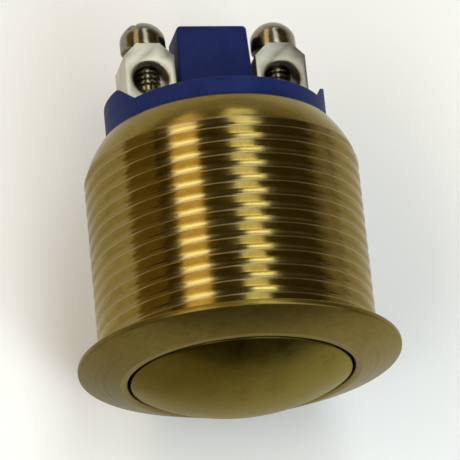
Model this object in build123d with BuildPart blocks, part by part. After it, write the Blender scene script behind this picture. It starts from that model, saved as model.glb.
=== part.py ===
import os
from math import cos, radians, sin, sqrt

from build123d import *

# Panel-mounted bell push: a domed brass button in a threaded brass barrel, with a moulded base
# that carries two pillar terminals. Millimetres, +Z up. The axis is Y: the button faces -Y and
# the terminals +Y. The origin is on the axis, at the flange's back face, where the panel sits.

# Barrel
thread_diameter = 19.0
thread_pitch = 1.0
thread_depth = 0.2  # shallow, with broad crests
thread_crest = 0.6  # flat on top of each ridge
thread_land = 0.1  # plain band beside the flange, as wide as the ridges
flange_overhang = 1.55  # past the thread, all round
flange_edge = 0.4
flange_edge_chamfer = 0.12
flange_rise = 1.07  # height of the cone in front of the edge
lip_land = 0.45  # flat ring round the button
lip_chamfer = 0.12
lip_back = 0.35  # the lip's rear face, behind the flange's back face
barrel_wall = 0.9  # under the thread, at the base's socket
barrel_length = 16.0
rim_length = 2.25  # the smooth end that is rolled inwards
rim_drop = 0.25  # below the thread's crests, where the smooth end starts
rim_lean = 20  # degrees, how far that start leans inwards
rim_end_width = 0.25
rim_lip = 1.1  # what the rolled rim holds down, along the axis

# Button
button_gap = 0.25
button_travel = 1.5
button_collar_overlap = 0.3  # how far the collar reaches behind the lip
button_collar_thickness = 1.0
slide_clearance = 0.12
dome_height = 2.1
dome_edge_chamfer = 0.15
button_wall = 1.25
button_front_wall = 0.75
boss_radius = 3.0
boss_bore_radius = 1.75
boss_bore_extra = 0.5  # deeper than the recess round the boss

# Base
socket_step = 0.2  # the shoulder in the bore that the base stops against
socket_room = 1.4  # from the pressed button to the base
fit_clearance = 0.1
cup_wall = 1.2
floor_thickness = 3.5
ring_height = 1.5  # of the round neck, past the rolled rim
shoulder_height = 1.3
shoulder_wall = 1.25  # outside each terminal, at its foot
shoulder_gap = 0.05
shoulder_slope = 0.58  # how far the inner side leans outwards
divider_height = 6.55
divider_depth = 3.8
divider_gap = 0.22
divider_draft = 1.5  # degrees
divider_corner_round = 0.25
divider_top_round = 0.2

# Terminals
terminal_width = 3.55
terminal_height = 5.15
terminal_depth = 3.5
terminal_chamfer = 0.95
wire_hole_radius = 1.25
wire_hole_height = 2.5  # above the base
wire_hole_chamfer = 0.18
spigot_radius = 0.8
peen_radius = 1.1
peen_height = 0.35

# Terminal screws
shank_radius = 1.0
shank_point = 0.25
screw_clearance = 0.07
head_radius = 1.6
head_side = 1.0
head_crown = 1.2
slot_width = 0.55
slot_depth = 0.8
slot_overrun = 0.5  # past the head at each end
slot_angles = {"left": -42, "right": 73}  # degrees from the Z direction, towards X

# Contacts
contact_angle = 40  # degrees, from each terminal round to its contact tip
contact_clearance = 0.05  # left between the tips when the button is down
rivet_clearance = 0.03
tip_radius = 0.8
tip_shank_radius = 0.4
fixed_tip_height = 0.5
plate_thickness = 0.5
plate_width = 2.4
bridge_thickness = 0.5
bridge_width = 2.6
bridge_end = 0.4  # past the tip
bridge_tip_height = 0.7

# Plunger
plunger_radius = 2.2
plunger_collar_radius = 3.6
plunger_collar_thickness = 1.0
plunger_clearance = 0.05
plunger_end_gap = 0.25
pilot_radius = 1.0
pilot_length = 0.7

# Return spring
spring_radius = 1.7  # to the middle of the wire
spring_wire = 0.4
spring_wire_sides = 6  # flats that stand for the wire's round section
spring_turns = 4.5
spring_end_gap = 0.03
spring_well_gap = 0.2
spring_well_depth = 0.9

# Radii from the thread inwards
thread_radius = thread_diameter / 2
root_radius = thread_radius - thread_depth
socket_radius = root_radius - barrel_wall
base_radius = socket_radius - fit_clearance
bore_radius = socket_radius - socket_step
button_collar_radius = bore_radius - slide_clearance
opening_radius = button_collar_radius - button_collar_overlap
button_radius = opening_radius - button_gap
flange_radius = thread_radius + flange_overhang
rim_start_radius = thread_radius - rim_drop
rim_bore_radius = opening_radius
rim_end_radius = rim_bore_radius + rim_end_width
neck_radius = rim_bore_radius - fit_clearance
cup_radius = base_radius - cup_wall
well_radius = spring_radius + spring_wire / 2 + spring_well_gap

# Stations along the axis, from the button to the terminals
lip_front = -flange_edge - flange_rise
dome_top = lip_front - dome_height
recess_front = lip_front + button_front_wall
boss_bore_front = recess_front - boss_bore_extra
collar_back = lip_back + button_collar_thickness
socket_front = collar_back + button_travel + socket_room
rim_start = barrel_length - rim_length
base_shoulder = barrel_length - rim_lip
base_top = barrel_length + ring_height
floor_front = base_top - floor_thickness
well_back = floor_front + spring_well_depth
plate_front = floor_front - plate_thickness
fixed_tip_front = plate_front - fixed_tip_height
bridge_tip_back = fixed_tip_front - contact_clearance - button_travel
bridge_back = bridge_tip_back - bridge_tip_height
bridge_front = bridge_back - bridge_thickness
terminal_top = base_top + terminal_height
wire_hole_y = base_top + wire_hole_height
head_edge = terminal_top + head_side
head_top = head_edge + head_crown
slot_length = 2 * (head_radius + slot_overrun)
shank_end = wire_hole_y - sqrt(wire_hole_radius**2 - shank_radius**2) + screw_clearance

# Places across the axis
sides = {"left": -1, "right": 1}
terminal_x = neck_radius - shoulder_wall - terminal_width / 2
shoulder_foot = terminal_x + terminal_width / 2 + shoulder_gap
divider_width = 2 * (terminal_x - terminal_width / 2 - divider_gap)
contact_z = terminal_x * sin(radians(contact_angle))
contact_x = terminal_x * cos(radians(contact_angle))
half_angle = radians(contact_angle / 2)
plate_length = 2 * terminal_x * sin(half_angle)
plate_reach = terminal_x * cos(half_angle)

os.makedirs("parts", exist_ok=True)

# The barrel is turned in one piece: a coned flange, a run of thread and a smooth end rolled in.
thread_flank = (thread_pitch - thread_crest) / 2
thread_turns = int((rim_start - thread_land - thread_flank) / thread_pitch)
thread_points = []
for turn in range(thread_turns):
    groove = thread_land + turn * thread_pitch
    thread_points.append((thread_radius, groove))
    thread_points.append((root_radius, groove + thread_flank))
    thread_points.append((thread_radius, groove + 2 * thread_flank))
thread_end = thread_land + thread_turns * thread_pitch

with BuildPart() as barrel:
    with BuildSketch(Plane.XY) as barrel_profile:
        with BuildLine():
            Polyline(
                (opening_radius, lip_back),
                (opening_radius, lip_front),
                (opening_radius + lip_land, lip_front),
                (flange_radius, -flange_edge),
                (flange_radius, 0),
                (thread_radius, 0),
                *thread_points,
                (thread_radius, thread_end),
                (root_radius, thread_end + thread_flank),
                (rim_start_radius, rim_start),
            )
            TangentArc(
                (rim_start_radius, rim_start),
                (rim_end_radius, barrel_length),
                tangent=(-sin(radians(rim_lean)), cos(radians(rim_lean))),
            )
            Polyline(
                (rim_end_radius, barrel_length),
                (rim_bore_radius, barrel_length),
                (rim_bore_radius, base_shoulder),
                (socket_radius, base_shoulder),
                (socket_radius, socket_front),
                (bore_radius, socket_front),
                (bore_radius, lip_back),
                (opening_radius, lip_back),
            )
        make_face()
        lip_edge = barrel_profile.vertices().sort_by_distance((opening_radius, lip_front))[0]
        chamfer(lip_edge, length=lip_chamfer)
        chamfer(barrel_profile.vertices().sort_by(Axis.X)[-2:], length=flange_edge_chamfer)
    revolve(axis=Axis.Y)
barrel.part.label = "barrel"
export_step(barrel.part, "parts/barrel.step")

# The button is a turned cup with a domed front. Its collar stops it behind the barrel's lip.
with BuildPart() as push_button:
    with BuildSketch(Plane.XY) as button_profile:
        with BuildLine():
            TangentArc((0, dome_top), (button_radius, lip_front), tangent=(1, 0))
            Polyline(
                (button_radius, lip_front),
                (button_radius, lip_back),
                (button_collar_radius, lip_back),
                (button_collar_radius, collar_back),
                (button_radius - button_wall, collar_back),
                (button_radius - button_wall, recess_front),
                (boss_radius, recess_front),
                (boss_radius, collar_back),
                (boss_bore_radius, collar_back),
                (boss_bore_radius, boss_bore_front),
                (0, boss_bore_front),
                (0, dome_top),
            )
        make_face()
        dome_edge = button_profile.vertices().sort_by_distance((button_radius, lip_front))[0]
        chamfer(dome_edge, length=dome_edge_chamfer)
    revolve(axis=Axis.Y)
push_button.part.label = "push_button"
export_step(push_button.part, "parts/push_button.step")

# The insulating plunger plugs into the button's boss and carries the bridge on its pilot.
with BuildPart() as plunger:
    with BuildSketch(Plane.XY):
        with BuildLine():
            Polyline(
                (0, boss_bore_front + plunger_end_gap),
                (boss_bore_radius - plunger_clearance, boss_bore_front + plunger_end_gap),
                (boss_bore_radius - plunger_clearance, collar_back),
                (plunger_collar_radius, collar_back),
                (plunger_collar_radius, collar_back + plunger_collar_thickness),
                (plunger_radius, collar_back + plunger_collar_thickness),
                (plunger_radius, bridge_front),
                (pilot_radius, bridge_front),
                (pilot_radius, bridge_back + pilot_length),
                (0, bridge_back + pilot_length),
                close=True,
            )
        make_face()
    revolve(axis=Axis.Y)
plunger.part.label = "plunger"
export_step(plunger.part, "parts/plunger.step")

# Sketches across the axis use Plane.ZX, whose local coordinates are (Z, X) and whose normal is +Y.
with BuildPart() as contact_bridge:
    with BuildSketch(Plane.ZX.offset(bridge_front)):
        SlotOverall(
            2 * (terminal_x + tip_radius + bridge_end), bridge_width, rotation=90 - contact_angle
        )
        Circle(pilot_radius + plunger_clearance, mode=Mode.SUBTRACT)
        with Locations((contact_z, contact_x), (-contact_z, -contact_x)):
            Circle(tip_shank_radius + rivet_clearance, mode=Mode.SUBTRACT)
    extrude(amount=bridge_thickness)
contact_bridge.part.label = "contact_bridge"
export_step(contact_bridge.part, "parts/contact_bridge.step")

# The base is one moulding: a cup round the contacts, a thick floor, a round neck that stands out
# of the rolled rim, two sloped shoulders and the divider between the terminals.
with BuildPart() as base:
    with BuildSketch(Plane.ZX.offset(base_top)):
        Rectangle(divider_depth, divider_width)
    extrude(amount=divider_height, taper=divider_draft)
    fillet(base.edges().group_by(Axis.Y)[1], radius=divider_corner_round)
    fillet(base.faces().sort_by(Axis.Y)[-1].edges(), radius=divider_top_round)
    with BuildSketch(Plane.XY):
        with BuildLine():
            Polyline(
                (cup_radius, socket_front),
                (base_radius, socket_front),
                (base_radius, base_shoulder),
                (neck_radius, base_shoulder),
                (neck_radius, base_top),
                (0, base_top),
                (0, well_back),
                (well_radius, well_back),
                (well_radius, floor_front),
                (cup_radius, floor_front),
                close=True,
            )
        make_face()
    revolve(axis=Axis.Y)
    with BuildSketch(Plane.ZX.offset(base_top)):
        Circle(neck_radius)
        Rectangle(2 * neck_radius, 2 * shoulder_foot, mode=Mode.SUBTRACT)
    extrude(amount=shoulder_height)
    with BuildSketch(Plane.XY):
        with BuildLine():
            Polyline(
                (shoulder_foot, base_top),
                (shoulder_foot + shoulder_slope, base_top + shoulder_height),
                (shoulder_foot, base_top + shoulder_height),
                close=True,
            )
        make_face()
        mirror(about=Plane.YZ)
    extrude(amount=neck_radius, both=True, mode=Mode.SUBTRACT)
    with BuildSketch(Plane.ZX.offset(floor_front)):
        with Locations((0, terminal_x), (0, -terminal_x)):
            Circle(spigot_radius + rivet_clearance)
    extrude(amount=floor_thickness, mode=Mode.SUBTRACT)
base.part.label = "base"
export_step(base.part, "parts/base.step")

# Each terminal is a nickelled block on the base. Its spigot goes through the floor and a contact
# plate, and is peened over in front of the plate.
for side, sign in sides.items():
    block_axis = Axis((sign * terminal_x, 0, 0), (0, 1, 0))
    with BuildPart() as block:
        with BuildSketch(Plane.XY) as block_face:
            with Locations((sign * terminal_x, base_top + terminal_height / 2)):
                Rectangle(terminal_width, terminal_height)
            chamfer(block_face.vertices().group_by(Axis.Y)[-1], length=terminal_chamfer)
            with Locations((sign * terminal_x, wire_hole_y)):
                Circle(wire_hole_radius, mode=Mode.SUBTRACT)
        extrude(amount=terminal_depth / 2, both=True)
        chamfer(block.edges().filter_by(GeomType.CIRCLE), length=wire_hole_chamfer)
        with BuildSketch(Plane.ZX.offset(wire_hole_y)):
            with Locations((0, sign * terminal_x)):
                Circle(shank_radius + screw_clearance)
        extrude(amount=terminal_top - wire_hole_y, mode=Mode.SUBTRACT)
        with BuildSketch(Plane(origin=(sign * terminal_x, 0, 0))):
            with BuildLine():
                Polyline(
                    (0, base_top),
                    (spigot_radius, base_top),
                    (spigot_radius, plate_front),
                    (peen_radius, plate_front),
                    (spigot_radius, plate_front - peen_height),
                    (0, plate_front - peen_height),
                    close=True,
                )
            make_face()
        revolve(axis=block_axis)
    block.part.label = f"terminal_block_{side}"
    export_step(block.part, f"parts/terminal_block_{side}.step")

    # The screw is down on its block, with its shank across the wire hole.
    with BuildPart() as screw:
        with BuildSketch(Plane(origin=(sign * terminal_x, 0, 0))):
            with BuildLine():
                TangentArc((0, head_top), (head_radius, head_edge), tangent=(1, 0))
                Polyline(
                    (head_radius, head_edge),
                    (head_radius, terminal_top),
                    (shank_radius, terminal_top),
                    (shank_radius, shank_end + shank_point),
                    (shank_radius - shank_point, shank_end),
                    (0, shank_end),
                    (0, head_top),
                )
            make_face()
        revolve(axis=block_axis)
        with BuildSketch(Plane.ZX.offset(head_top)):
            with Locations((0, sign * terminal_x)):
                Rectangle(slot_length, slot_width, rotation=slot_angles[side])
        extrude(amount=-slot_depth, mode=Mode.SUBTRACT)
    screw.part.label = f"terminal_screw_{side}"
    export_step(screw.part, f"parts/terminal_screw_{side}.step")

    # The contact plate lies on the floor and runs round from the spigot to its tip.
    with BuildPart() as plate:
        with BuildSketch(Plane.ZX.offset(plate_front)):
            with Locations(
                (sign * plate_reach * sin(half_angle), sign * plate_reach * cos(half_angle))
            ):
                SlotCenterToCenter(plate_length, plate_width, rotation=-contact_angle / 2)
            with Locations((0, sign * terminal_x)):
                Circle(spigot_radius + rivet_clearance, mode=Mode.SUBTRACT)
            with Locations((sign * contact_z, sign * contact_x)):
                Circle(tip_shank_radius + rivet_clearance, mode=Mode.SUBTRACT)
        extrude(amount=plate_thickness)
    plate.part.label = f"fixed_contact_{side}"
    export_step(plate.part, f"parts/fixed_contact_{side}.step")

    with BuildPart() as fixed_tip:
        with BuildSketch(Plane.ZX.offset(fixed_tip_front)):
            with Locations((sign * contact_z, sign * contact_x)):
                Circle(tip_radius)
        extrude(amount=fixed_tip_height)
        with BuildSketch(Plane.ZX.offset(plate_front)):
            with Locations((sign * contact_z, sign * contact_x)):
                Circle(tip_shank_radius)
        extrude(amount=plate_thickness)
    fixed_tip.part.label = f"fixed_tip_{side}"
    export_step(fixed_tip.part, f"parts/fixed_tip_{side}.step")

    with BuildPart() as bridge_tip:
        with BuildSketch(Plane.ZX.offset(bridge_back)):
            with Locations((sign * contact_z, sign * contact_x)):
                Circle(tip_radius)
        extrude(amount=bridge_tip_height)
        with BuildSketch(Plane.ZX.offset(bridge_front)):
            with Locations((sign * contact_z, sign * contact_x)):
                Circle(tip_shank_radius)
        extrude(amount=bridge_thickness)
    bridge_tip.part.label = f"bridge_tip_{side}"
    export_step(bridge_tip.part, f"parts/bridge_tip_{side}.step")

# The return spring stands in the floor's well and pushes the bridge and plunger forward.
spring_start = bridge_back + spring_wire / 2 + spring_end_gap
spring_length = well_back - bridge_back - spring_wire - 2 * spring_end_gap
with BuildPart() as return_spring:
    with BuildLine():
        coil = Helix(
            pitch=spring_length / spring_turns,
            height=spring_length,
            radius=spring_radius,
            center=(0, spring_start, 0),
            direction=(0, 1, 0),
        )
    with BuildSketch(Plane(origin=coil @ 0, z_dir=coil % 0)):
        RegularPolygon(spring_wire / 2, spring_wire_sides)
    sweep(path=coil, is_frenet=True)
return_spring.part.label = "return_spring"
export_step(return_spring.part, "parts/return_spring.step")
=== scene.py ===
import bpy
import bmesh
from math import asin, atan2, hypot, pi, radians, tan
from mathutils import Euler, Matrix, Vector


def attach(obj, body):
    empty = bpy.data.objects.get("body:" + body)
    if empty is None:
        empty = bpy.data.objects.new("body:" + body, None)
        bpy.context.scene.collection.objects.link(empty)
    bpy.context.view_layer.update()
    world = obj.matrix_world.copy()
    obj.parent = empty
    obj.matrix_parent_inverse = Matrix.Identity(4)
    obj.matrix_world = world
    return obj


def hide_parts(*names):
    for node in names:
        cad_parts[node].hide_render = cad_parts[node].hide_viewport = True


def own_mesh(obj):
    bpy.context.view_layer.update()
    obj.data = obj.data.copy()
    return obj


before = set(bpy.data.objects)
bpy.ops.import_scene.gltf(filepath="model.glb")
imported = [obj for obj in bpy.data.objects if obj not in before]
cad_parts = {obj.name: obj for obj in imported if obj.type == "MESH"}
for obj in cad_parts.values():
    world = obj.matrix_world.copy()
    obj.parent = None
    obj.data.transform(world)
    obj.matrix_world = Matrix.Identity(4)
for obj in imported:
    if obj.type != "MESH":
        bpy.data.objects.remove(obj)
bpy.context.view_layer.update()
print("frame loaded:", len(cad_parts), "nodes")

mm = 0.001                 # pieces are drawn in millimetres and stored in metres
weld = 1e-6                # points closer than this, in metres, are one point
onPlane = 1e-7             # points closer than this to a cutting plane lie on it
flatAngle = 0.5            # faces that meet at less than this, in degrees, become one after a cut
ringReach = (0.02, 0.002)  # how far from a ring's radius and place its edges may lie
edgeHighlightName = "edgeHighlight"    # attribute that marks edges painted lighter as a painted highlight


# mesh helpers

def pick(geometry, kind):
    return [item for item in geometry if isinstance(item, kind)]


def profileLine(bm, points, centreX=0.0):
    # joins (radius, y) points into an open line beside the Y axis
    verts = [bm.verts.new(((centreX + r) * mm, y * mm, 0)) for r, y in points]
    for pair in zip(verts, verts[1:]):
        bm.edges.new(pair)
    return verts


def domeArc(bm, top, edge, radius, steps, centreX=0.0):
    # draws a domed end from its top on the axis, and returns the point at its edge
    rise = abs(edge - top)
    ball = (radius ** 2 + rise ** 2) / (2 * rise)   # radius of the dome's sphere
    way = 1 if edge > top else -1
    start = bm.verts.new((centreX * mm, top * mm, 0))
    made = bmesh.ops.spin(bm, geom=[start], cent=(centreX * mm, (top + way * ball) * mm, 0), axis=(0, 0, 1),
                          dvec=(0, 0, 0), angle=way * asin(radius / ball), steps=steps, use_duplicate=False)
    return pick(made["geom_last"], bmesh.types.BMVert)[0]


def latheProfile(bm, steps, centreX=0.0):
    # turns everything drawn so far once round the axis
    bmesh.ops.spin(bm, geom=bm.verts[:] + bm.edges[:], cent=(centreX * mm, 0, 0), axis=(0, 1, 0),
                   dvec=(0, 0, 0), angle=2 * pi, steps=steps, use_merge=True, use_duplicate=False)
    tidyMesh(bm)


def helixSection(bm, section, turns, pitch, stepsPerTurn, centreX=0.0, firstAngle=0.0):
    # sweeps a closed section of (radius, y, painted highlight) up a right-hand helix and caps both ends
    highlightLayer = bm.verts.layers.float.new(edgeHighlightName)
    verts = []
    for r, y, paintedEdge in section:
        vert = bm.verts.new(((centreX + r) * mm, y * mm, 0))
        vert[highlightLayer] = paintedEdge
        verts.append(vert)
    face = bm.faces.new(verts)
    steps = round(turns * stepsPerTurn)
    centre = (centreX * mm, 0, 0)
    bmesh.ops.rotate(bm, verts=verts, cent=centre, matrix=Matrix.Rotation(radians(firstAngle), 3, "Y"))
    bmesh.ops.spin(bm, geom=[face], cent=centre, axis=(0, 1, 0), dvec=(0, pitch * mm * turns / steps, 0),
                   angle=2 * pi * turns, steps=steps, use_duplicate=False)


def boxShell(size, centre=(0, 0, 0)):
    # a box with its size and centre in mm
    bm = bmesh.new()
    bmesh.ops.create_cube(bm, size=1.0)
    bmesh.ops.scale(bm, vec=[length * mm for length in size], verts=bm.verts)
    bmesh.ops.translate(bm, verts=bm.verts, vec=[place * mm for place in centre])
    return bm


def tidyMesh(bm):
    bmesh.ops.remove_doubles(bm, verts=bm.verts, dist=weld)
    bmesh.ops.recalc_face_normals(bm, faces=bm.faces)


def softenEdges(bm, edges, width, segments):
    bmesh.ops.bevel(bm, geom=edges, offset=width * mm, offset_type="OFFSET", affect="EDGES",
                    segments=segments, profile=0.5, material=-1, clamp_overlap=True)


def sharpEdges(bm, limit, where):
    # edges whose two faces meet at more than the limit, where a place test in mm holds
    found = []
    for edge in bm.edges:
        if len(edge.link_faces) == 2 and edge.calc_face_angle(0) > radians(limit):
            if where((edge.verts[0].co + edge.verts[1].co) / (2 * mm)):
                found.append(edge)
    return found


def softenRings(bm, corners, width, segments, centreX=0.0):
    # rounds the edges that run round the axis at the given (radius, y) corners
    found = []
    for edge in bm.edges:
        spots = [(hypot(v.co.x / mm - centreX, v.co.z / mm), v.co.y / mm) for v in edge.verts]
        for radius, place in corners:
            gaps = [(abs(r - radius), abs(y - place)) for r, y in spots]
            if all(across < ringReach[0] and along < ringReach[1] for across, along in gaps):
                found.append(edge)
    softenEdges(bm, found, width, segments)


def cutFlat(bm, place, normal, **cleared):
    # cuts along a plane through a place in mm, and closes the cut
    cut = bmesh.ops.bisect_plane(bm, geom=bm.verts[:] + bm.edges[:] + bm.faces[:], dist=onPlane,
                                 plane_co=[value * mm for value in place], plane_no=normal, **cleared)
    bmesh.ops.holes_fill(bm, edges=pick(cut["geom_cut"], bmesh.types.BMEdge), sides=0)


def makePiece(name, bm, material, smoothAngle=32):
    mesh = bpy.data.meshes.new(name)
    bm.to_mesh(mesh)
    bm.free()
    mesh.materials.append(material)
    mesh.shade_smooth()
    mesh.set_sharp_from_angle(angle=radians(smoothAngle))
    piece = bpy.data.objects.new(name, mesh)
    bpy.context.scene.collection.objects.link(piece)
    return piece


def addShell(bm, extra):
    # puts another closed shell into the same piece
    mesh = bpy.data.meshes.new("shell")
    extra.to_mesh(mesh)
    extra.free()
    bm.from_mesh(mesh)
    bpy.data.meshes.remove(mesh)


def cutAway(bm, cutter):
    # takes one closed bmesh out of another
    bodies = []
    for part in (bm, cutter):
        mesh = bpy.data.meshes.new("cutting")
        part.to_mesh(mesh)
        body = bpy.data.objects.new("cutting", mesh)
        bpy.context.scene.collection.objects.link(body)
        bodies.append(body)
    cut = bodies[0].modifiers.new("cut", "BOOLEAN")
    cut.operation = "DIFFERENCE"
    cut.solver = "EXACT"
    cut.object = bodies[1]
    whole = bodies[0].evaluated_get(bpy.context.evaluated_depsgraph_get())
    bm.clear()
    bm.from_mesh(whole.to_mesh())
    whole.to_mesh_clear()
    cutter.free()
    for body in bodies:
        mesh = body.data
        bpy.data.objects.remove(body)
        bpy.data.meshes.remove(mesh)
    bmesh.ops.remove_doubles(bm, verts=bm.verts, dist=weld)
    bmesh.ops.dissolve_limit(bm, angle_limit=radians(flatAngle), verts=bm.verts, edges=bm.edges)


def settle(piece, body, slot, *nodes):
    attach(piece, body)
    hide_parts(*nodes)
    print("piece made:", piece.name, len(piece.data.polygons), "faces")


# material helpers

# a Mix node's factor, first, second and result sockets, by what it mixes
mixSockets = {"RGBA": (0, 6, 7, 2), "FLOAT": (0, 2, 3, 0)}


def setInputs(node, values):
    for key, value in values.items():
        node.inputs[key.replace("_", " ")].default_value = value


def addNode(tree, kind, inputs=None, **settings):
    node = tree.nodes.new(kind)
    for key, value in settings.items():
        setattr(node, key, value)
    setInputs(node, inputs or {})
    return node


def mathNode(tree, operation, *values):
    node = addNode(tree, "ShaderNodeMath", operation=operation)
    for place, value in enumerate(values):
        if isinstance(value, (int, float)):
            node.inputs[place].default_value = value
        else:
            tree.links.new(value, node.inputs[place])
    return node.outputs[0]


def weigh(tree, values, shares):
    # sum of the values, each times its share
    parts = [mathNode(tree, "MULTIPLY", value, share) for value, share in zip(values, shares)]
    total = parts.pop()
    while parts:
        total = mathNode(tree, "ADD", parts.pop(), total)
    return total


def spread(tree, value, fromLow, fromHigh, toLow=0.0, toHigh=1.0):
    limits = {"From_Min": fromLow, "From_Max": fromHigh, "To_Min": toLow, "To_Max": toHigh}
    node = addNode(tree, "ShaderNodeMapRange", limits)
    tree.links.new(value, node.inputs["Value"])
    return node.outputs["Result"]


def mixNode(tree, kind, values, mode="MIX"):
    node = addNode(tree, "ShaderNodeMix", data_type=kind, blend_type=mode)
    *places, result = mixSockets[kind]
    for place, value in zip(places, values):
        if isinstance(value, bpy.types.NodeSocket):
            tree.links.new(value, node.inputs[place])
        else:
            node.inputs[place].default_value = value if isinstance(value, float) else (*value, 1)
    return node.outputs[result]


def blendColours(tree, mask, first, second):
    # first where the mask is 0, second where it is 1
    return mixNode(tree, "RGBA", (mask, first, second))


def blendValues(tree, mask, first, second):
    return mixNode(tree, "FLOAT", (mask, first, second))


def multiplyColours(tree, first, second):
    return mixNode(tree, "RGBA", (1.0, first, second), "MULTIPLY")


def darkSpots(tree, colour, mask, share, tint):
    # the colour, tinted by a share where the mask shows
    return blendColours(tree, mathNode(tree, "MULTIPLY", mask, share), colour,
                        multiplyColours(tree, colour, tint))


def bumpFrom(tree, height, strength, distance):
    node = addNode(tree, "ShaderNodeBump", {"Strength": strength, "Distance": distance * mm})
    tree.links.new(height, node.inputs["Height"])
    return node.outputs["Normal"]


def alongDirection(tree, direction):
    # place along a direction, in mm from the origin
    spot = addNode(tree, "ShaderNodeTexCoord")
    node = addNode(tree, "ShaderNodeVectorMath", operation="DOT_PRODUCT")
    tree.links.new(spot.outputs["Object"], node.inputs[0])
    node.inputs[1].default_value = [share / mm for share in direction]
    return node.outputs["Value"]


def newMaterial(name, **sockets):
    material = bpy.data.materials.new(name)
    material.use_nodes = True
    shader = material.node_tree.nodes["Principled BSDF"]
    setInputs(shader, sockets)
    return material, material.node_tree, shader


def joinShader(tree, shader, colour, sheen, relief=None):
    tree.links.new(colour, shader.inputs["Base Color"])
    tree.links.new(sheen, shader.inputs["Roughness"])
    if relief is not None:
        tree.links.new(relief, shader.inputs["Normal"])


def newGroup(name, inputs, outputs):
    tree = bpy.data.node_groups.new(name, "ShaderNodeTree")
    for label, start in inputs:
        socket = tree.interface.new_socket(label, in_out="INPUT", socket_type="NodeSocketFloat")
        socket.default_value = start
    for label in outputs:
        tree.interface.new_socket(label, in_out="OUTPUT", socket_type="NodeSocketFloat")
    return tree, tree.nodes.new("NodeGroupInput"), tree.nodes.new("NodeGroupOutput")


def placeGroup(tree, group, **values):
    return addNode(tree, "ShaderNodeGroup", values, node_tree=group)


# shared effects

ringNoise = {"Scale": 1.0, "Detail": 3.0, "Roughness": 0.6}
streakTurn = {"Rotation": (0.3, 0.7, 0.2), "Scale": (1.0, 1.0, 0.16)}
# each kind of mark with its usual size in mm, its noise and the span of the noise that shows
markNoise = {
    "Cloud": {"size": 6.0, "noise": {"Detail": 5.0, "Roughness": 0.62, "Distortion": 0.6}, "span": (0.32, 0.68)},
    "Speck": {"size": 0.4, "noise": {"Detail": 2.0, "Roughness": 0.5}, "span": (0.64, 0.74)},
    "Streak": {"size": 3.0, "noise": {"Detail": 6.0, "Roughness": 0.7, "Distortion": 0.3}, "span": (0.35, 0.65)},
}


def buildTurnedGroup():
    # distance from the turning axis, place along it, and the fine rings a lathe tool leaves
    tree, start, end = newGroup("turnedFinish", [("Rings", 6.0)], ["Radius", "Along", "Marks"])
    spot = addNode(tree, "ShaderNodeTexCoord")
    parts = addNode(tree, "ShaderNodeSeparateXYZ")
    tree.links.new(spot.outputs["Object"], parts.inputs[0])
    across, along, upward = (mathNode(tree, "MULTIPLY", parts.outputs[axis], 1 / mm) for axis in "XYZ")
    square = mathNode(tree, "ADD", mathNode(tree, "MULTIPLY", across, across),
                      mathNode(tree, "MULTIPLY", upward, upward))
    radius = mathNode(tree, "SQRT", square)
    drawn = addNode(tree, "ShaderNodeCombineXYZ")
    tree.links.new(mathNode(tree, "MULTIPLY", radius, start.outputs["Rings"]), drawn.inputs["X"])
    tree.links.new(mathNode(tree, "MULTIPLY", along, start.outputs["Rings"]), drawn.inputs["Y"])
    rings = addNode(tree, "ShaderNodeTexNoise", ringNoise, noise_dimensions="2D")
    tree.links.new(drawn.outputs[0], rings.inputs["Vector"])
    for name, value in (("Radius", radius), ("Along", along), ("Marks", rings.outputs[0])):
        tree.links.new(value, end.inputs[name])
    return tree


def buildHandledGroup():
    # cloudy handling marks, small specks of dirt or pitting, and streaks where it was rubbed
    sizes = [(name + " Size", mark["size"]) for name, mark in markNoise.items()]
    tree, start, end = newGroup("handledSurface", sizes, [name + "s" for name in markNoise])
    spot = addNode(tree, "ShaderNodeTexCoord")
    slanted = addNode(tree, "ShaderNodeMapping", streakTurn)
    tree.links.new(spot.outputs["Object"], slanted.inputs["Vector"])
    for name, mark in markNoise.items():
        texture = addNode(tree, "ShaderNodeTexNoise", mark["noise"])
        place = slanted.outputs["Vector"] if name == "Streak" else spot.outputs["Object"]
        tree.links.new(place, texture.inputs["Vector"])
        scale = mathNode(tree, "DIVIDE", 1 / mm, start.outputs[name + " Size"])
        tree.links.new(scale, texture.inputs["Scale"])
        tree.links.new(spread(tree, texture.outputs[0], *mark["span"]), end.inputs[name + "s"])
    return tree


turnedGroup = buildTurnedGroup()
handledGroup = buildHandledGroup()
print("shared effects built")


# materials

barrelFinish = {
    "specular": (0.94, 0.90, 0.78, 1), "rings": 9.0, "bump": (0.30, 0.004),
    "largeMarks": {"Cloud_Size": 5.0, "Speck_Size": 0.3, "Streak_Size": 2.5},
    "smallMarks": {"Cloud_Size": 0.7, "Speck_Size": 0.14, "Streak_Size": 1.0},
    "shares": (0.4, 0.25, 0.35),                 # of large clouds, streaks and small clouds
    "thread": ((0.128, 0.082, 0.010), (0.228, 0.166, 0.041)),   # dull and bright
    "flange": ((0.112, 0.076, 0.011), (0.186, 0.136, 0.032)),
    "flangeEnd": (0.0, 0.05), "rimStart": (13.65, 13.72),       # places along the axis
    # painted shade: the flange is painted duller low on the left than high on the right
    "flangeShadeWay": (0.75, 0, 0.66), "flangeShade": (-9.0, 9.0, 0.68, 1.16),
    "lip": (0.205, 0.152, 0.046),                # ring round the button, painted lighter as a painted highlight
    "lipEdge": (8.18, 8.34), "lipBack": (-0.95, -0.75), "lipRoughness": 0.48,
    "flank": (0.203, 0.148, 0.050),              # painted highlight: the thread's sloped side, painted paler than its crest
    "flankEdge": (9.40, 9.485),                  # radius over which that fades out
    "edge": (0.235, 0.180, 0.070),               # painted highlight: the thread's rear edge, painted lighter
    "edgeRoughness": 0.32,
    "pit": (0.55, 0.5, 0.42), "pitShare": 0.45,
    "markSpan": (0.3, 0.7),                      # span of the lathe marks that shows in the sheen
    "threadRoughness": (0.10, 0.17),
    "rimRoughness": (0.14, 0.22),
    "flangeRoughness": (0.28, 0.40),
    "patchRoughness": 0.05,
}


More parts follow.
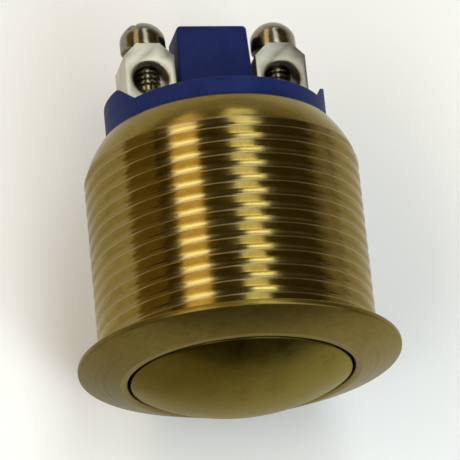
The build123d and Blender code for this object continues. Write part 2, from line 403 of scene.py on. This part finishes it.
def smearedMarks(tree, look):
    # both sizes of handling marks, and the patches that they make together
    large = placeGroup(tree, handledGroup, **look["largeMarks"])
    small = placeGroup(tree, handledGroup, **look["smallMarks"])
    parts = (large.outputs["Clouds"], large.outputs["Streaks"], small.outputs["Clouds"])
    return large, small, weigh(tree, parts, look["shares"])


def barrelBrass():
    look = barrelFinish
    material, tree, shader = newMaterial("barrelBrass", Metallic=1.0, Specular_Tint=look["specular"])
    turned = placeGroup(tree, turnedGroup, Rings=look["rings"])
    radius, along, marks = (turned.outputs[name] for name in ("Radius", "Along", "Marks"))
    large, small, patches = smearedMarks(tree, look)
    behindFlange = spread(tree, along, *look["flangeEnd"])
    onRim = spread(tree, along, *look["rimStart"])

    # painted shade: the flange's colour is darkened low on the left and lightened high on the right
    shadedFlange = spread(tree, alongDirection(tree, look["flangeShadeWay"]), *look["flangeShade"])
    flangeColour = multiplyColours(tree, blendColours(tree, patches, *look["flange"]), shadedFlange)
    colour = blendColours(tree, behindFlange, flangeColour, blendColours(tree, patches, *look["thread"]))
    # painted highlight: a lighter ring round the button
    paintedLight = mathNode(tree, "MULTIPLY", spread(tree, radius, *look["lipEdge"], 1.0, 0.0),
                      spread(tree, along, *look["lipBack"], 1.0, 0.0))
    colour = blendColours(tree, paintedLight, colour, look["lip"])
    onThread = mathNode(tree, "MULTIPLY", behindFlange, mathNode(tree, "SUBTRACT", 1.0, onRim))
    # painted highlight: the thread's sloped side is painted paler than its crest
    slopeHighlight = mathNode(tree, "MULTIPLY", spread(tree, radius, *look["flankEdge"], 1.0, 0.0), onThread)
    colour = blendColours(tree, slopeHighlight, colour, look["flank"])
    # painted highlight: edges marked in the mesh are painted lighter
    paintedEdge = addNode(tree, "ShaderNodeAttribute", attribute_name=edgeHighlightName).outputs["Fac"]
    colour = blendColours(tree, paintedEdge, colour, look["edge"])
    pits = mathNode(tree, "MAXIMUM", large.outputs["Specks"], small.outputs["Specks"])
    colour = darkSpots(tree, colour, pits, look["pitShare"], look["pit"])

    flangeSheen, threadSheen, rimSheen = (
        spread(tree, marks, *look["markSpan"], *look[name])
        for name in ("flangeRoughness", "threadRoughness", "rimRoughness"))
    sheen = blendValues(tree, onRim, blendValues(tree, behindFlange, flangeSheen, threadSheen), rimSheen)
    sheen = mathNode(tree, "ADD", sheen, mathNode(tree, "MULTIPLY", patches, look["patchRoughness"]))
    for mask, name in ((paintedEdge, "edge"), (paintedLight, "lip")):
        sheen = mathNode(tree, "MAXIMUM", sheen, mathNode(tree, "MULTIPLY", mask, look[name + "Roughness"]))
    joinShader(tree, shader, colour, sheen, bumpFrom(tree, marks, *look["bump"]))
    return material


buttonFinish = {
    "specular": (0.90, 0.82, 0.60, 1), "rings": 5.0, "bump": (0.2, 0.004),
    "largeMarks": {"Cloud_Size": 4.2, "Speck_Size": 0.3, "Streak_Size": 2.2},
    "smallMarks": {"Cloud_Size": 0.6, "Speck_Size": 0.2, "Streak_Size": 1.0},
    "shares": (0.4, 0.35, 0.25),
    "dull": (0.086, 0.059, 0.005),
    "bright": (0.178, 0.128, 0.019),
    "smearSpan": (0.1, 0.9), "roughness": (0.24, 0.40),
    # painted shade and reflection: the dome is painted dull high on the left and paler and bluer low on the
    # right
    "domeShadeWay": (0.78, 0, -0.62), "domeShadeSpan": (-5.0, 0.8),
    "domeShadeTint": ((0.54, 0.52, 0.46), (1.20, 1.30, 2.10)),
    "pit": (0.6, 0.55, 0.45), "pitShare": 0.3,
}


def buttonBrass():
    look = buttonFinish
    material, tree, shader = newMaterial("buttonBrass", Metallic=1.0, Specular_Tint=look["specular"])
    turned = placeGroup(tree, turnedGroup, Rings=look["rings"])
    large, _, smear = smearedMarks(tree, look)
    colour = blendColours(tree, smear, look["dull"], look["bright"])
    # painted shade and reflection: the dome is darkened high on the left and made paler and bluer low on the
    # right
    paintedLight = spread(tree, alongDirection(tree, look["domeShadeWay"]), *look["domeShadeSpan"])
    colour = multiplyColours(tree, colour, blendColours(tree, paintedLight, *look["domeShadeTint"]))
    colour = darkSpots(tree, colour, large.outputs["Specks"], look["pitShare"], look["pit"])
    joinShader(tree, shader, colour, spread(tree, smear, *look["smearSpan"], *look["roughness"]),
               bumpFrom(tree, turned.outputs["Marks"], *look["bump"]))
    return material


baseFinish = {
    "dull": (0.008, 0.015, 0.084),
    "bright": (0.013, 0.022, 0.112),
    "scuff": (0.050, 0.060, 0.120), "scuffShare": 0.35,
    "specular": 0.06, "roughness": (0.46, 0.58), "bump": (0.12, 0.01),
    "marks": {"Cloud_Size": 2.6, "Speck_Size": 0.22},
}


def cloudyFinish(tree, look):
    # a group of handling marks, with the colour and the sheen that its clouds give
    handled = placeGroup(tree, handledGroup, **look["marks"])
    clouds = handled.outputs["Clouds"]
    colour = blendColours(tree, clouds, look["dull"], look["bright"])
    return handled, colour, spread(tree, clouds, 0.0, 1.0, *look["roughness"])


def basePlastic():
    look = baseFinish
    material, tree, shader = newMaterial("basePlastic", Specular_IOR_Level=look["specular"])
    handled, colour, sheen = cloudyFinish(tree, look)
    scuffed = mathNode(tree, "MULTIPLY", handled.outputs["Specks"], look["scuffShare"])
    colour = blendColours(tree, scuffed, colour, look["scuff"])
    joinShader(tree, shader, colour, sheen, bumpFrom(tree, handled.outputs["Clouds"], *look["bump"]))
    return material


nickelFinish = {"pit": (0.6, 0.56, 0.48), "pitShare": 0.5, "bump": (0.1, 0.006)}
terminalFinish = {
    "dull": (0.36, 0.345, 0.275), "bright": (0.50, 0.48, 0.39), "roughness": (0.34, 0.46),
    "marks": {"Cloud_Size": 1.6, "Speck_Size": 0.16},
    # painted shade along x: the right block is painted darker towards its right
    "blockShadeWay": (1, 0, 0), "blockShade": (2.0, 6.4, 1.06, 0.55),
}
screwFinish = {
    "dull": (0.13, 0.112, 0.072), "bright": (0.27, 0.243, 0.178), "roughness": (0.17, 0.26),
    "marks": {"Cloud_Size": 0.9, "Speck_Size": 0.16},
}


def platedNickel(name, look):
    # nickel plate, cloudy where it has been handled and in places painted darker to one side as a painted shade
    material, tree, shader = newMaterial(name, Metallic=1.0)
    handled, colour, sheen = cloudyFinish(tree, look)
    # painted shade: the right terminal block is painted darker towards its right
    if "blockShade" in look:
        shadedBlock = spread(tree, alongDirection(tree, look["blockShadeWay"]), *look["blockShade"])
        colour = multiplyColours(tree, colour, shadedBlock)
    colour = darkSpots(tree, colour, handled.outputs["Specks"], nickelFinish["pitShare"], nickelFinish["pit"])
    joinShader(tree, shader, colour, sheen, bumpFrom(tree, handled.outputs["Clouds"], *nickelFinish["bump"]))
    return material


stripMarks = {"Cloud_Size": 1.5, "Speck_Size": 0.15}
# rolled strip, drawn wire and the moulded plunger inside the housing
innerLooks = {
    "springSteel": {"metal": 1.0, "dull": (0.38, 0.38, 0.38), "bright": (0.50, 0.50, 0.50),
                    "roughness": (0.22, 0.34), "marks": stripMarks},
    "contactBronze": {"metal": 1.0, "dull": (0.42, 0.23, 0.10), "bright": (0.52, 0.30, 0.14),
                      "roughness": (0.28, 0.42), "marks": stripMarks},
    "contactSilver": {"metal": 1.0, "dull": (0.58, 0.57, 0.54), "bright": (0.72, 0.71, 0.68),
                      "roughness": (0.20, 0.34), "marks": stripMarks},
    "plungerPlastic": {"metal": 0.0, "dull": (0.60, 0.58, 0.50), "bright": (0.70, 0.68, 0.60),
                       "roughness": (0.40, 0.52), "marks": {"Cloud_Size": 2.0, "Speck_Size": 0.2}},
}


def plainFinish(name):
    look = innerLooks[name]
    material, tree, shader = newMaterial(name, Metallic=look["metal"])
    _, colour, sheen = cloudyFinish(tree, look)
    joinShader(tree, shader, colour, sheen)
    return material


finishes = {
    "barrel": barrelBrass(),
    "button": buttonBrass(),
    "base": basePlastic(),
    "terminal": platedNickel("terminalNickel", terminalFinish),
    "screw": platedNickel("screwNickel", screwFinish),
    "spring": plainFinish("springSteel"),
    "bronze": plainFinish("contactBronze"),
    "silver": plainFinish("contactSilver"),
    "plunger": plainFinish("plungerPlastic"),
}
print("materials ready:", len(finishes))


# barrel: flange, threaded tube and rolled rim

barrel = {
    "openingRadius": 7.76, "lipBack": 0.35, "lipFront": -1.47, "lipLand": 8.23, "lipRound": 0.12,
    "flangeRadius": 11.05, "flangeEdge": 0.4, "edgeRound": 0.12,
    "rootRadius": 9.32,
    # the groove that the thread runs out into, and the ring where the rim starts, painted lighter as a painted
    # highlight
    "runOut": ((9.32, 13.34), (9.235, 13.38), (9.306, 13.665),
               (9.315, 13.70), (9.30, 13.84), (9.275, 13.90)),
    "paintedLight": (13.69, 13.85),
    "rimBend": (8.80, 15.15), "bendRound": 1.2, "rimRadius": 8.03, "rimBack": 16.0, "rimRound": 0.08,
    "socketRadius": 8.4, "boreRadius": 8.2, "socketFront": 4.25, "rimLip": 14.9,
    "steps": 192,
}
thread = {
    "pitch": 1.0, "turns": 14.6, "first": -0.45, "stepsPerTurn": 160, "firstAngle": 244.8, "end": 13.33,
    # radius, place and painted highlight: a hollow front flank, a broad crest, an edge painted lighter as a
    # painted highlight and a short step down
    "section": ((9.31, -0.56, 0), (9.335, -0.53, 0), (9.343, -0.48, 0), (9.357, -0.42, 0), (9.38, -0.36, 0),
                (9.41, -0.30, 0), (9.443, -0.24, 0), (9.47, -0.18, 0), (9.488, -0.12, 0), (9.497, -0.06, 0),
                (9.5, 0.0, 0), (9.5, 0.29, 0), (9.497, 0.34, 1), (9.478, 0.43, 1), (9.43, 0.45, 0.5),
                (9.31, 0.46, 0)),
}


def buildBarrel():
    bm = bmesh.new()
    shape = barrel
    opening, socket, bore = (shape[name] for name in ("openingRadius", "socketRadius", "boreRadius"))
    front, lipBack, rimLip = shape["lipFront"], shape["lipBack"], shape["rimLip"]
    flangeRing = ((shape["flangeRadius"], -shape["flangeEdge"]), (shape["flangeRadius"], 0))
    rimRing = ((shape["rimRadius"], shape["rimBack"]), (opening, shape["rimBack"]))
    line = profileLine(bm, (
        (opening, lipBack), (opening, front), (shape["lipLand"], front), *flangeRing,
        (shape["rootRadius"], 0), *shape["runOut"], shape["rimBend"], *rimRing,
        (opening, rimLip), (socket, rimLip), (socket, shape["socketFront"]),
        (bore, shape["socketFront"]), (bore, lipBack),
    ))
    bm.edges.new((line[-1], line[0]))
    latheProfile(bm, shape["steps"])
    softenRings(bm, [shape["rimBend"]], shape["bendRound"], 6)
    softenRings(bm, [(opening, front)], shape["lipRound"], 4)
    softenRings(bm, [(shape["lipLand"], front)], shape["lipRound"], 3)
    softenRings(bm, flangeRing, shape["edgeRound"], 3)
    softenRings(bm, rimRing, shape["rimRound"], 2)
    # painted highlight: the ring where the rim starts is marked to be painted lighter
    highlightLayer = bm.verts.layers.float.new(edgeHighlightName)
    for vert in bm.verts:
        if shape["paintedLight"][0] < vert.co.y / mm < shape["paintedLight"][1]:
            vert[highlightLayer] = 1.0
    ridge = bmesh.new()
    section = [(r, y + thread["first"], paintedEdge) for r, y, paintedEdge in thread["section"]]
    helixSection(ridge, section, thread["turns"], thread["pitch"], thread["stepsPerTurn"],
                 firstAngle=thread["firstAngle"])
    cutFlat(ridge, (0, thread["end"], 0), (0, 1, 0), clear_outer=True)
    tidyMesh(ridge)
    addShell(bm, ridge)
    return makePiece("barrelBody", bm, finishes["barrel"])


settle(buildBarrel(), "housing", "barrel_brass", "barrel")


# push button: a turned cup with a domed front

button = {
    "radius": 7.56, "domeTop": -3.57, "domeEdge": -1.47, "edgeRound": 0.06, "domeSteps": 24,
    "collarRadius": 8.08, "collarFront": 0.35, "collarBack": 1.35, "collarRound": 0.1,
    "cupRadius": 6.28, "cupFront": -0.72, "bossRadius": 3.0, "bossBore": 1.75, "bossFloor": -1.22,
    "steps": 160,
}


def buildButton():
    bm = bmesh.new()
    shape = button
    radius, collar, cup = shape["radius"], shape["collarRadius"], shape["cupRadius"]
    boss, bore, back = shape["bossRadius"], shape["bossBore"], shape["collarBack"]
    edge = domeArc(bm, shape["domeTop"], shape["domeEdge"], radius, shape["domeSteps"])
    line = profileLine(bm, (
        (radius, shape["collarFront"]), (collar, shape["collarFront"]), (collar, back),
        (cup, back), (cup, shape["cupFront"]), (boss, shape["cupFront"]), (boss, back),
        (bore, back), (bore, shape["bossFloor"]), (0, shape["bossFloor"]),
    ))
    bm.edges.new((edge, line[0]))
    latheProfile(bm, shape["steps"])
    softenRings(bm, [(radius, shape["domeEdge"])], shape["edgeRound"], 4)
    softenRings(bm, [(collar, back)], shape["collarRound"], 2)
    return makePiece("pushButton", bm, finishes["button"])


settle(buildButton(), "button", "button_brass", "push_button")


# base: moulded cup and neck, two shoulders and the divider between the terminals

base = {
    "cupRadius": 7.1, "cupFront": 4.25, "bodyRadius": 8.3, "neckRadius": 7.68, "shoulderY": 14.9, "top": 17.5,
    "wellRadius": 2.1, "wellBack": 14.9, "floorFront": 14.0, "steps": 128, "neckRound": 0.12,
    "wingFoot": 6.48, "wingSlope": 0.58, "wingHeight": 1.3, "wingRound": 0.24,
    "wingTip": 2.4, "wingTipFoot": 4.1,   # half lengths that the blunt ends run between
    "dividerWidth": 5.32, "dividerDepth": 3.8, "dividerHeight": 6.55, "draft": 1.5, "dividerRound": 0.3,
    "wingSharp": 25, "dividerSharp": 40,  # edges that turn by more than this are rounded
    "clear": 0.05,                        # and on the wings only those this far above the neck
    "sunk": 0.25,                         # how far the wings and divider run down into the neck
}


def buildWing(side):
    bm = bmesh.new()
    shape = base
    top, height, tipFoot = shape["top"], shape["wingHeight"], shape["wingTipFoot"]
    flat = Matrix.Translation((0, (top - shape["sunk"]) * mm, 0)) @ Matrix.Rotation(radians(90), 4, "X")
    bmesh.ops.create_circle(bm, cap_ends=True, radius=shape["neckRadius"] * mm, segments=shape["steps"],
                            matrix=flat)
    drawn = bmesh.ops.extrude_face_region(bm, geom=bm.faces[:])
    lifted = pick(drawn["geom"], bmesh.types.BMVert)
    bmesh.ops.translate(bm, verts=lifted, vec=(0, (height + shape["sunk"]) * mm, 0))
    slope = Vector((height, -shape["wingSlope"], 0)).normalized()   # across the leaning inner side
    cutFlat(bm, (shape["wingFoot"], top, 0), slope, clear_inner=True)
    for end in (-1, 1):
        blunt = Vector((0, tipFoot - shape["wingTip"], end * height)).normalized()
        cutFlat(bm, (0, top, end * tipFoot), blunt, clear_outer=True)
    tidyMesh(bm)
    rounded = sharpEdges(bm, shape["wingSharp"], lambda p: p.y > top + shape["clear"])
    softenEdges(bm, rounded, shape["wingRound"], 4)
    if side < 0:
        bmesh.ops.scale(bm, vec=(-1, 1, 1), verts=bm.verts)
    tidyMesh(bm)
    return bm


def buildDivider():
    shape = base
    width, depth, top = shape["dividerWidth"], shape["dividerDepth"], shape["top"]
    height = shape["dividerHeight"] + shape["sunk"]
    bm = boxShell((width, height, depth), (0, top - shape["sunk"] + height / 2, 0))
    drawIn = height * tan(radians(shape["draft"]))
    highest = [v for v in bm.verts if v.co.y > top * mm]
    bmesh.ops.scale(bm, verts=highest, vec=(1 - 2 * drawIn / width, 1, 1 - 2 * drawIn / depth))
    rounded = sharpEdges(bm, shape["dividerSharp"], lambda p: p.y > top)
    softenEdges(bm, rounded, shape["dividerRound"], 4)
    tidyMesh(bm)
    return bm


def buildBase():
    bm = bmesh.new()
    shape = base
    well, cup, body, neck = (shape[name + "Radius"] for name in ("well", "cup", "body", "neck"))
    profileLine(bm, (
        (0, shape["wellBack"]), (well, shape["wellBack"]), (well, shape["floorFront"]),
        (cup, shape["floorFront"]), (cup, shape["cupFront"]), (body, shape["cupFront"]),
        (body, shape["shoulderY"]), (neck, shape["shoulderY"]), (neck, shape["top"]), (0, shape["top"]),
    ))
    latheProfile(bm, shape["steps"])
    softenRings(bm, [(neck, shape["top"])], shape["neckRound"], 3)
    for extra in (buildWing(1), buildWing(-1), buildDivider()):
        addShell(bm, extra)
    return makePiece("baseMoulding", bm, finishes["base"])


settle(buildBase(), "housing", "base_plastic", "base")


# terminals: a drilled block on each side, with its clamp screw

terminal = {
    "x": 4.655, "width": 3.55, "height": 5.15, "depth": 3.5, "foot": 17.5, "chamfer": 0.95,
    "holeRadius": 1.25, "holeY": 20.0, "holeRim": 0.18, "edgeRound": 0.11, "steps": 56,
    "tapRadius": 1.07, "tapPast": 1.0,      # the tapped hole's drill goes this far past the top
    "holeSharp": 40, "edgeSharp": 30,       # edges that turn by more than this are rounded
    "near": 0.02,                           # how close to the hole's mouth its edge lies
    "holeClear": 0.3, "tapClear": 0.1,      # how far from the holes the other rounded edges are
    "spigotRadius": 0.8, "spigotSunk": 0.2, "spigotSteps": 40,
    "plateFront": 13.5, "peenRadius": 1.1, "peenHeight": 0.35,
}


def drill(radius, low, high, place, axis, steps):
    # a rod to cut with, from low to high along Y or Z
    bm = bmesh.new()
    turn = Matrix.Rotation(radians(90), 4, "X") if axis == "Y" else Matrix.Identity(4)
    middle = Vector(place) + Vector((0, (low + high) / 2, 0) if axis == "Y" else (0, 0, (low + high) / 2))
    bmesh.ops.create_cone(bm, cap_ends=True, segments=steps, radius1=radius * mm, radius2=radius * mm,
                          depth=(high - low) * mm, matrix=Matrix.Translation(middle * mm) @ turn)
    return bm


def buildBlock(name, side):
    shape = terminal
    x, holeY, depth, foot = side * shape["x"], shape["holeY"], shape["depth"], shape["foot"]
    top = foot + shape["height"]
    bm = boxShell((shape["width"], shape["height"], depth), (x, foot + shape["height"] / 2, 0))
    highest = [e for e in bm.edges if all(v.co.y > holeY * mm for v in e.verts)]
    softenEdges(bm, [e for e in highest if e.verts[0].co.z * e.verts[1].co.z < 0], shape["chamfer"], 1)
    cutAway(bm, drill(shape["holeRadius"], -depth, depth, (x, holeY, 0), "Z", shape["steps"]))
    cutAway(bm, drill(shape["tapRadius"], holeY, top + shape["tapPast"], (x, 0, 0), "Y", shape["steps"]))
    bmesh.ops.recalc_face_normals(bm, faces=bm.faces)

    def fromHole(p):
        return hypot(p.x - x, p.y - holeY) - shape["holeRadius"]

    mouths = sharpEdges(bm, shape["holeSharp"],
                        lambda p: abs(p.z) > depth / 2 - shape["near"] and fromHole(p) < shape["near"])
    softenEdges(bm, mouths, shape["holeRim"], 3)
    outer = sharpEdges(bm, shape["edgeSharp"], lambda p: fromHole(p) > shape["holeClear"]
                       and hypot(p.x - x, p.z) > shape["tapRadius"] + shape["tapClear"])
    softenEdges(bm, outer, shape["edgeRound"], 3)
    spigot = bmesh.new()
    rod, rodTop, plate = shape["spigotRadius"], foot + shape["spigotSunk"], shape["plateFront"]
    peened = plate - shape["peenHeight"]
    profileLine(spigot, ((0, rodTop), (rod, rodTop), (rod, plate), (shape["peenRadius"], plate),
                         (rod, peened), (0, peened)), x)
    latheProfile(spigot, shape["spigotSteps"], x)
    addShell(bm, spigot)
    return makePiece(name, bm, finishes["terminal"])


screw = {
    "headRadius": 1.6, "seat": 22.65, "headEdge": 23.65, "headTop": 24.85, "headRound": 0.16, "crownSteps": 14,
    "shankRadius": 0.80, "end": 19.32, "point": 0.25, "steps": 72,
    "crestRadius": 1.0, "crestHalf": 0.05, "rootSunk": 0.06, "pitch": 0.4, "threadSteps": 40,
    "slotWidth": 0.55, "slotDepth": 0.8, "slotTurn": {-1: -42, 1: 73}, "bladeLength": 6,
    "slotRound": 0.07, "slotSharp": 30, "slotClear": 0.05,   # edges above the slot's floor are rounded
}


def buildScrew(name, side):
    bm = bmesh.new()
    shape = screw
    x = side * terminal["x"]
    head, shank, seat, end = (shape[key] for key in ("headRadius", "shankRadius", "seat", "end"))
    shankEnd = end + shape["point"]
    edge = domeArc(bm, shape["headTop"], shape["headEdge"], head, shape["crownSteps"], x)
    line = profileLine(bm, ((head, seat), (shank, seat), (shank, shankEnd), (shank - shape["point"], end),
                            (0, end)), x)
    bm.edges.new((edge, line[0]))
    latheProfile(bm, shape["steps"], x)
    softenRings(bm, [(head, shape["headEdge"]), (head, seat)], shape["headRound"], 3, x)
    blade = boxShell((shape["slotWidth"], 2 * shape["slotDepth"], shape["bladeLength"]))
    bmesh.ops.rotate(blade, verts=blade.verts, cent=(0, 0, 0),
                     matrix=Matrix.Rotation(radians(shape["slotTurn"][side]), 3, "Y"))
    bmesh.ops.translate(blade, verts=blade.verts, vec=(x * mm, shape["headTop"] * mm, 0))
    cutAway(bm, blade)
    slotFloor = shape["headTop"] - shape["slotDepth"]
    rounded = sharpEdges(bm, shape["slotSharp"], lambda p: p.y > slotFloor + shape["slotClear"])
    softenEdges(bm, rounded, shape["slotRound"], 2)
    ridge = bmesh.new()
    low, high, half = shank - shape["rootSunk"], shape["crestRadius"], shape["pitch"] / 2
    section = ((low, -half), (high, -shape["crestHalf"]), (high, shape["crestHalf"]), (low, half))
    length = seat - end - shape["point"] - 2 * half
    foot = shankEnd + half
    helixSection(ridge, [(r, y + foot, 0) for r, y in section], length / shape["pitch"], shape["pitch"],
                 shape["threadSteps"], x)
    tidyMesh(ridge)
    addShell(bm, ridge)
    return makePiece(name, bm, finishes["screw"])


for sideName, side in (("left", -1), ("right", 1)):
    settle(buildBlock("terminalBlock." + sideName, side), "housing", "terminal_nickel",
           "terminal_block_" + sideName)
    settle(buildScrew("terminalScrew." + sideName, side), "screw_" + sideName, "screw_nickel",
           "terminal_screw_" + sideName)


# return spring, between the floor's well and the bridge

spring = {
    "radius": 1.7, "wire": 0.4, "turns": 4.5, "start": 10.98, "length": 3.69, "stepsPerTurn": 48, "sides": 12,
    "fixedEnd": 14.9, "pressed": 0.639,
}


def buildSpring():
    bm = bmesh.new()
    shape = spring
    bmesh.ops.create_circle(bm, cap_ends=True, radius=shape["wire"] / 2 * mm, segments=shape["sides"],
                            matrix=Matrix.Translation((shape["radius"] * mm, shape["start"] * mm, 0)))
    steps = round(shape["turns"] * shape["stepsPerTurn"])
    bmesh.ops.spin(bm, geom=bm.faces[:], cent=(0, 0, 0), axis=(0, 1, 0),
                   dvec=(0, shape["length"] / steps * mm, 0), angle=2 * pi * shape["turns"], steps=steps,
                   use_duplicate=False)
    tidyMesh(bm)
    return makePiece("returnSpring", bm, finishes["spring"])


coil = buildSpring()
settle(coil, "housing", "spring_steel", "return_spring")
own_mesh(coil)

innerFinishes = {
    "plunger": "plunger", "contact_bridge": "bronze",
    "fixed_contact_left": "bronze", "fixed_contact_right": "bronze",
    "bridge_tip_left": "silver", "bridge_tip_right": "silver",
    "fixed_tip_left": "silver", "fixed_tip_right": "silver",
}
for nodeName, finish in innerFinishes.items():
    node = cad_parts[nodeName]
    node.data.materials.clear()
    node.data.materials.append(finishes[finish])
print("inner pieces finished:", len(innerFinishes))


# floor, light and camera

stage = {"floor": -11.10, "radius": 900, "steps": 96, "colour": (0.89, 0.90, 0.92), "roughness": 0.9}
# shades that stand on the floor, each from one place to another
flags = (
    {"name": "frontFlag", "run": ((-90, -36.5), (130, -36.5)), "top": 42, "colour": (0.09, 0.072, 0.04)},
    {"name": "leftFlag", "run": ((-150, -60), (-150, 220)), "top": 70, "colour": (0.40, 0.30, 0.10)},
)
# the lamps all hang at one height in metres, and their places and widths are shares of it
lampHeight = 0.4
lamps = (
    {"name": "rightFar", "ends": ((0.096, 2.3), (0.1155, 0.26)), "width": 0.335,
     "radiance": 3.0, "colour": (0.85, 0.92, 1.0)},
    {"name": "rightMid", "ends": ((0.1155, 0.26), (0.12, -0.05)), "width": 0.335,
     "radiance": 4.0, "colour": (1.0, 1.0, 0.92)},
    {"name": "rightLow", "ends": ((0.225, -0.05), (0.265, -0.5)), "width": 0.37,
     "radiance": 2.5, "colour": (0.96, 1.0, 0.96)},
    {"name": "rightNear", "ends": ((0.265, -0.5), (0.285, -1.0)), "width": 0.37,
     "radiance": 5.8, "colour": (0.88, 1.0, 1.0)},
    {"name": "leftFar", "ends": ((-0.99, 2.9), (-0.9245, 0.15)), "width": 0.70,
     "radiance": 2.33, "colour": (1.0, 0.77, 0.48)},
    {"name": "leftMid", "ends": ((-0.9245, 0.15), (-0.909, -0.5)), "width": 0.70,
     "radiance": 3.3, "colour": (1.0, 0.95, 0.88)},
    {"name": "leftNear", "ends": ((-0.909, -0.5), (-0.89, -1.3)), "width": 0.70,
     "radiance": 5.5, "colour": (0.95, 1.0, 1.0)},
    {"name": "rightRim", "ends": ((0.57, 3.2), (0.42, 2.33)), "width": 0.75,
     "radiance": 4.6, "colour": (0.92, 1.0, 0.95)},
    {"name": "leftRim", "ends": ((-2.1, 5.4), (-1.5, 3.0)), "width": 1.2,
     "radiance": 2.4, "colour": (1.0, 0.84, 0.58)},
    {"name": "frontSoft", "ends": ((1.1, -1.1), (1.1, -2.1)), "width": 1.4,
     "radiance": 7.0, "colour": (0.84, 0.92, 1.0)},
)
room = {
    "overhead": (0.100, 0.078, 0.030), "wall": (0.62, 0.58, 0.50),
    "wallFoot": 0.16, "wallTop": 0.42, "facing": (0.75, 0.65), "wallSpan": (-0.1, 0.45),
}
camera = {
    "place": (-0.05856, -0.09154, 0.24869), "turn": (22.7064, -11.0951, -5.5444),
    "lens": 313.0, "sensor": 36.0, "nearest": 0.01,
}


def plainPaper(name, colour):
    sockets = {"Base_Color": (*colour, 1), "Roughness": stage["roughness"], "Specular_IOR_Level": 0.0}
    return newMaterial(name, **sockets)[0]


def buildFloor():
    bm = bmesh.new()
    bmesh.ops.create_circle(bm, cap_ends=True, radius=stage["radius"] * mm, segments=stage["steps"],
                            matrix=Matrix.Translation((0, 0, stage["floor"] * mm)))
    makePiece("floorPaper", bm, plainPaper("floorPaper", stage["colour"]))


def standFlag(flag):
    # a shade that only the metal sees, so that it has something dark to mirror
    bm = bmesh.new()
    foot = [bm.verts.new((x * mm, y * mm, stage["floor"] * mm)) for x, y in flag["run"]]
    drawn = bmesh.ops.extrude_edge_only(bm, edges=[bm.edges.new(foot)])
    lifted = pick(drawn["geom"], bmesh.types.BMVert)
    bmesh.ops.translate(bm, verts=lifted, vec=(0, 0, (flag["top"] - stage["floor"]) * mm))
    card = makePiece(flag["name"], bm, plainPaper(flag["name"], flag["colour"]))
    card.visible_camera = False
    card.visible_diffuse = False
    card.visible_shadow = False


def hangLamp(lamp):
    near, far = (Vector(end) * lampHeight for end in lamp["ends"])
    light = bpy.data.lights.new(lamp["name"], "AREA")
    light.shape = "RECTANGLE"
    light.size = lamp["width"] * lampHeight
    light.size_y = (near - far).length
    light.energy = lamp["radiance"] * pi * light.size * light.size_y
    light.color = lamp["colour"]
    body = bpy.data.objects.new(lamp["name"], light)
    body.location = (*((near + far) / 2), lampHeight)
    body.rotation_euler = (0, 0, atan2(far.x - near.x, near.y - far.y))
    body.visible_camera = False
    bpy.context.scene.collection.objects.link(body)


def buildRoom():
    # a pale wall to the right and behind, and a dim ceiling
    world = bpy.data.worlds.new("room")
    world.use_nodes = True
    tree = world.node_tree
    spot = addNode(tree, "ShaderNodeTexCoord")
    parts = addNode(tree, "ShaderNodeSeparateXYZ")
    tree.links.new(spot.outputs["Generated"], parts.inputs[0])
    low = spread(tree, parts.outputs["Z"], room["wallFoot"], room["wallTop"], 1.0, 0.0)
    towards = weigh(tree, (parts.outputs["X"], parts.outputs["Y"]), room["facing"])
    pale = mathNode(tree, "MULTIPLY", low, spread(tree, towards, *room["wallSpan"]))
    colour = blendColours(tree, pale, room["overhead"], room["wall"])
    tree.links.new(colour, tree.nodes["Background"].inputs["Color"])
    bpy.context.scene.world = world


buildFloor()
buildRoom()
for flag in flags:
    standFlag(flag)
for lamp in lamps:
    hangLamp(lamp)

lens = bpy.data.cameras.new("photoView")
lens.lens = camera["lens"]
lens.sensor_width = camera["sensor"]
lens.clip_start = camera["nearest"]
viewer = bpy.data.objects.new("photoView", lens)
viewer.location = camera["place"]
viewer.rotation_euler = Euler([radians(a) for a in camera["turn"]], "XYZ")
bpy.context.scene.collection.objects.link(viewer)
bpy.context.scene.camera = viewer
bpy.context.scene.view_settings.view_transform = "Standard"
print("stage, lamps and camera set")
